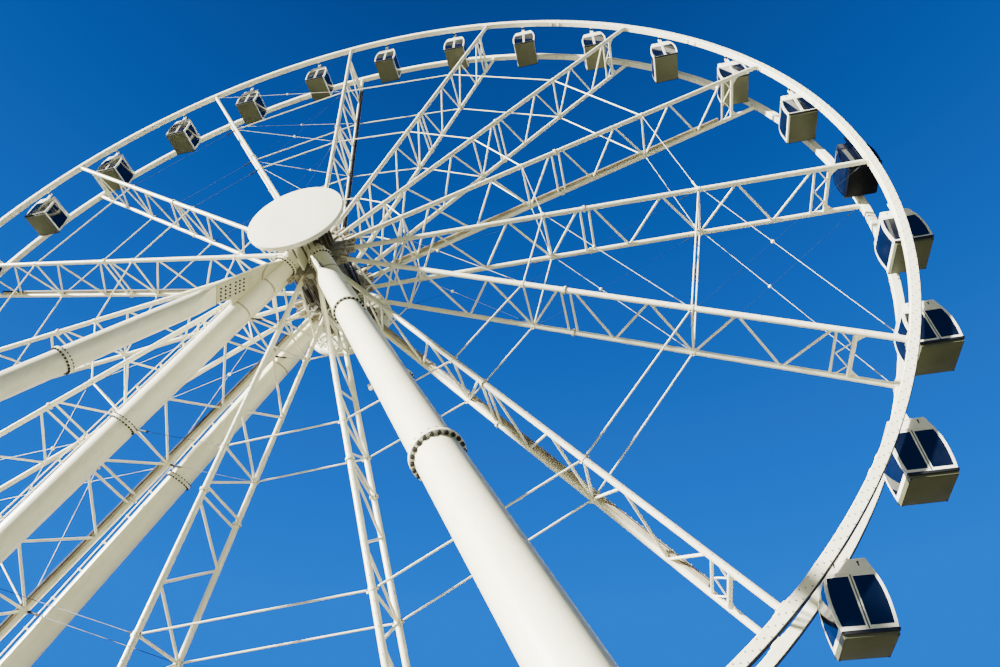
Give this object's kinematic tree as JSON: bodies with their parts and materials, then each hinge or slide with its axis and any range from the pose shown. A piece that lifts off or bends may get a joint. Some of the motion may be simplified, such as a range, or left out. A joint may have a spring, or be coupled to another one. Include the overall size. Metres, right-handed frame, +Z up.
{
  "type": "ferris wheel, 1:2 scale model",
  "caption": "Transportable ferris wheel, 1:2 scale model: lattice spokes, two box rims, hanging cabins, four-legged tubular stand with two outriggers on its near side",
  "frame": {"origin": "centre of the footprint on the ground, straight under the hub", "axes": "+Z up, +Y along the wheel's axle from the near face to the far face, +X to the right seen from the near face"},
  "size_m": [27.868, 16.2038, 29.1807],
  "materials": {
    "lattice_paint": "cream enamel on hot-dip galvanised steel, semi-gloss",
    "rim_paint": "cream enamel on rolled box section, semi-gloss",
    "hub_paint": "grey machinery enamel",
    "head_paint": "off-white enamel on welded plate, semi-gloss",
    "leg_paint": "cream enamel on steel tube, semi-gloss",
    "base_paint": "beige enamel on box beams, satin",
    "deck_steel": "galvanised deck plate and railing",
    "cabin_shell": "white gelcoat on moulded composite, gloss",
    "dark_cabin_shell": "navy gelcoat on moulded composite, gloss"
  },
  "bodies": {
    "stand": {"near_hub_head": "head_paint", "far_hub_head": "head_paint", "near_left_legs": "leg_paint", "near_right_legs": "leg_paint", "far_left_leg": "leg_paint", "far_right_leg": "leg_paint", "base_frame": "base_paint", "boarding_platform": "deck_steel"},
    "wheel": {"spoke_01": "lattice_paint", "spoke_02": "lattice_paint", "spoke_03": "lattice_paint", "spoke_04": "lattice_paint", "spoke_05": "lattice_paint", "spoke_06": "lattice_paint", "spoke_07": "lattice_paint", "spoke_08": "lattice_paint", "spoke_09": "lattice_paint", "spoke_10": "lattice_paint", "spoke_11": "lattice_paint", "spoke_12": "lattice_paint", "spoke_13": "lattice_paint", "spoke_14": "lattice_paint", "spoke_15": "lattice_paint", "near_middle_struts": "lattice_paint", "near_outer_struts": "lattice_paint", "far_middle_struts": "lattice_paint", "far_outer_struts": "lattice_paint", "near_rim": "rim_paint", "far_rim": "rim_paint", "hub_spindle": "hub_paint"},
    "cabin_01_body": {"cabin_01": "cabin_shell"},
    "cabin_02_body": {"cabin_02": "cabin_shell"},
    "cabin_03_body": {"cabin_03": "cabin_shell"},
    "cabin_04_body": {"cabin_04": "cabin_shell"},
    "cabin_05_body": {"cabin_05": "cabin_shell"},
    "cabin_06_body": {"cabin_06": "cabin_shell"},
    "cabin_07_body": {"cabin_07": "cabin_shell"},
    "cabin_08_body": {"cabin_08": "cabin_shell"},
    "cabin_09_body": {"cabin_09": "cabin_shell"},
    "cabin_10_body": {"cabin_10": "cabin_shell"},
    "cabin_11_body": {"cabin_11": "cabin_shell"},
    "cabin_12_body": {"cabin_12": "dark_cabin_shell"},
    "cabin_13_body": {"cabin_13": "cabin_shell"},
    "cabin_14_body": {"cabin_14": "cabin_shell"},
    "cabin_15_body": {"cabin_15": "cabin_shell"},
    "cabin_16_body": {"cabin_16": "cabin_shell"},
    "cabin_17_body": {"cabin_17": "cabin_shell"},
    "cabin_18_body": {"cabin_18": "cabin_shell"},
    "cabin_19_body": {"cabin_19": "cabin_shell"},
    "cabin_20_body": {"cabin_20": "cabin_shell"},
    "cabin_21_body": {"cabin_21": "cabin_shell"},
    "cabin_22_body": {"cabin_22": "cabin_shell"},
    "cabin_23_body": {"cabin_23": "cabin_shell"},
    "cabin_24_body": {"cabin_24": "cabin_shell"},
    "cabin_25_body": {"cabin_25": "cabin_shell"},
    "cabin_26_body": {"cabin_26": "cabin_shell"},
    "cabin_27_body": {"cabin_27": "cabin_shell"},
    "cabin_28_body": {"cabin_28": "cabin_shell"},
    "cabin_29_body": {"cabin_29": "cabin_shell"},
    "cabin_30_body": {"cabin_30": "cabin_shell"}
  },
  "joints": [
    {"name": "wheel_spin", "type": "hinge", "parent": "stand", "child": "wheel", "pos_m": [0, 0, 15.5], "axis": [0, 1, 0], "continuous": true},
    {"name": "cabin_01_pivot", "type": "hinge", "parent": "wheel", "child": "cabin_01_body", "pos_m": [-9.9301, 0, 24.77067], "axis": [0, 1, 0], "continuous": true},
    {"name": "cabin_02_pivot", "type": "hinge", "parent": "wheel", "child": "cabin_02_body", "pos_m": [-7.78562, 0, 26.63267], "axis": [0, 1, 0], "continuous": true},
    {"name": "cabin_03_pivot", "type": "hinge", "parent": "wheel", "child": "cabin_03_body", "pos_m": [-5.30088, 0, 28.00811], "axis": [0, 1, 0], "continuous": true},
    {"name": "cabin_04_pivot", "type": "hinge", "parent": "wheel", "child": "cabin_04_body", "pos_m": [-2.58446, 0, 28.8369], "axis": [0, 1, 0], "continuous": true},
    {"name": "cabin_05_pivot", "type": "hinge", "parent": "wheel", "child": "cabin_05_body", "pos_m": [0.24491, 0, 29.08279], "axis": [0, 1, 0], "continuous": true},
    {"name": "cabin_06_pivot", "type": "hinge", "parent": "wheel", "child": "cabin_06_body", "pos_m": [3.06358, 0, 28.73505], "axis": [0, 1, 0], "continuous": true},
    {"name": "cabin_07_pivot", "type": "hinge", "parent": "wheel", "child": "cabin_07_body", "pos_m": [5.74836, 0, 27.80888], "axis": [0, 1, 0], "continuous": true},
    {"name": "cabin_08_pivot", "type": "hinge", "parent": "wheel", "child": "cabin_08_body", "pos_m": [8.18191, 0, 26.34475], "axis": [0, 1, 0], "continuous": true},
    {"name": "cabin_09_pivot", "type": "hinge", "parent": "wheel", "child": "cabin_09_body", "pos_m": [10.25786, 0, 24.40666], "axis": [0, 1, 0], "continuous": true},
    {"name": "cabin_10_pivot", "type": "hinge", "parent": "wheel", "child": "cabin_10_body", "pos_m": [11.8855, 0, 22.07929], "axis": [0, 1, 0], "continuous": true},
    {"name": "cabin_11_pivot", "type": "hinge", "parent": "wheel", "child": "cabin_11_body", "pos_m": [12.99369, 0, 19.46439], "axis": [0, 1, 0], "continuous": true},
    {"name": "cabin_12_pivot", "type": "hinge", "parent": "wheel", "child": "cabin_12_body", "pos_m": [13.53398, 0, 16.67622], "axis": [0, 1, 0], "continuous": true},
    {"name": "cabin_13_pivot", "type": "hinge", "parent": "wheel", "child": "cabin_13_body", "pos_m": [13.48278, 0, 13.83664], "axis": [0, 1, 0], "continuous": true},
    {"name": "cabin_14_pivot", "type": "hinge", "parent": "wheel", "child": "cabin_14_body", "pos_m": [12.84232, 0, 11.06976], "axis": [0, 1, 0], "continuous": true},
    {"name": "cabin_15_pivot", "type": "hinge", "parent": "wheel", "child": "cabin_15_body", "pos_m": [11.64059, 0, 8.4965], "axis": [0, 1, 0], "continuous": true},
    {"name": "cabin_16_pivot", "type": "hinge", "parent": "wheel", "child": "cabin_16_body", "pos_m": [9.9301, 0, 6.22933], "axis": [0, 1, 0], "continuous": true},
    {"name": "cabin_17_pivot", "type": "hinge", "parent": "wheel", "child": "cabin_17_body", "pos_m": [7.78562, 0, 4.36733], "axis": [0, 1, 0], "continuous": true},
    {"name": "cabin_18_pivot", "type": "hinge", "parent": "wheel", "child": "cabin_18_body", "pos_m": [5.30088, 0, 2.99189], "axis": [0, 1, 0], "continuous": true},
    {"name": "cabin_19_pivot", "type": "hinge", "parent": "wheel", "child": "cabin_19_body", "pos_m": [2.58446, 0, 2.1631], "axis": [0, 1, 0], "continuous": true},
    {"name": "cabin_20_pivot", "type": "hinge", "parent": "wheel", "child": "cabin_20_body", "pos_m": [-0.24491, 0, 1.91721], "axis": [0, 1, 0], "continuous": true},
    {"name": "cabin_21_pivot", "type": "hinge", "parent": "wheel", "child": "cabin_21_body", "pos_m": [-3.06358, 0, 2.26494], "axis": [0, 1, 0], "continuous": true},
    {"name": "cabin_22_pivot", "type": "hinge", "parent": "wheel", "child": "cabin_22_body", "pos_m": [-5.74836, 0, 3.19112], "axis": [0, 1, 0], "continuous": true},
    {"name": "cabin_23_pivot", "type": "hinge", "parent": "wheel", "child": "cabin_23_body", "pos_m": [-8.18191, 0, 4.65525], "axis": [0, 1, 0], "continuous": true},
    {"name": "cabin_24_pivot", "type": "hinge", "parent": "wheel", "child": "cabin_24_body", "pos_m": [-10.25786, 0, 6.59335], "axis": [0, 1, 0], "continuous": true},
    {"name": "cabin_25_pivot", "type": "hinge", "parent": "wheel", "child": "cabin_25_body", "pos_m": [-11.8855, 0, 8.92071], "axis": [0, 1, 0], "continuous": true},
    {"name": "cabin_26_pivot", "type": "hinge", "parent": "wheel", "child": "cabin_26_body", "pos_m": [-12.99369, 0, 11.53561], "axis": [0, 1, 0], "continuous": true},
    {"name": "cabin_27_pivot", "type": "hinge", "parent": "wheel", "child": "cabin_27_body", "pos_m": [-13.53398, 0, 14.32378], "axis": [0, 1, 0], "continuous": true},
    {"name": "cabin_28_pivot", "type": "hinge", "parent": "wheel", "child": "cabin_28_body", "pos_m": [-13.48278, 0, 17.16336], "axis": [0, 1, 0], "continuous": true},
    {"name": "cabin_29_pivot", "type": "hinge", "parent": "wheel", "child": "cabin_29_body", "pos_m": [-12.84232, 0, 19.93024], "axis": [0, 1, 0], "continuous": true},
    {"name": "cabin_30_pivot", "type": "hinge", "parent": "wheel", "child": "cabin_30_body", "pos_m": [-11.64059, 0, 22.5035], "axis": [0, 1, 0], "continuous": true}
  ],
  "couplings": [
    {"joint": "cabin_01_pivot", "follows": "wheel_spin", "ratio": -1},
    {"joint": "cabin_02_pivot", "follows": "wheel_spin", "ratio": -1},
    {"joint": "cabin_03_pivot", "follows": "wheel_spin", "ratio": -1},
    {"joint": "cabin_04_pivot", "follows": "wheel_spin", "ratio": -1},
    {"joint": "cabin_05_pivot", "follows": "wheel_spin", "ratio": -1},
    {"joint": "cabin_06_pivot", "follows": "wheel_spin", "ratio": -1},
    {"joint": "cabin_07_pivot", "follows": "wheel_spin", "ratio": -1},
    {"joint": "cabin_08_pivot", "follows": "wheel_spin", "ratio": -1},
    {"joint": "cabin_09_pivot", "follows": "wheel_spin", "ratio": -1},
    {"joint": "cabin_10_pivot", "follows": "wheel_spin", "ratio": -1},
    {"joint": "cabin_11_pivot", "follows": "wheel_spin", "ratio": -1},
    {"joint": "cabin_12_pivot", "follows": "wheel_spin", "ratio": -1},
    {"joint": "cabin_13_pivot", "follows": "wheel_spin", "ratio": -1},
    {"joint": "cabin_14_pivot", "follows": "wheel_spin", "ratio": -1},
    {"joint": "cabin_15_pivot", "follows": "wheel_spin", "ratio": -1},
    {"joint": "cabin_16_pivot", "follows": "wheel_spin", "ratio": -1},
    {"joint": "cabin_17_pivot", "follows": "wheel_spin", "ratio": -1},
    {"joint": "cabin_18_pivot", "follows": "wheel_spin", "ratio": -1},
    {"joint": "cabin_19_pivot", "follows": "wheel_spin", "ratio": -1},
    {"joint": "cabin_20_pivot", "follows": "wheel_spin", "ratio": -1},
    {"joint": "cabin_21_pivot", "follows": "wheel_spin", "ratio": -1},
    {"joint": "cabin_22_pivot", "follows": "wheel_spin", "ratio": -1},
    {"joint": "cabin_23_pivot", "follows": "wheel_spin", "ratio": -1},
    {"joint": "cabin_24_pivot", "follows": "wheel_spin", "ratio": -1},
    {"joint": "cabin_25_pivot", "follows": "wheel_spin", "ratio": -1},
    {"joint": "cabin_26_pivot", "follows": "wheel_spin", "ratio": -1},
    {"joint": "cabin_27_pivot", "follows": "wheel_spin", "ratio": -1},
    {"joint": "cabin_28_pivot", "follows": "wheel_spin", "ratio": -1},
    {"joint": "cabin_29_pivot", "follows": "wheel_spin", "ratio": -1},
    {"joint": "cabin_30_pivot", "follows": "wheel_spin", "ratio": -1}
  ]
}
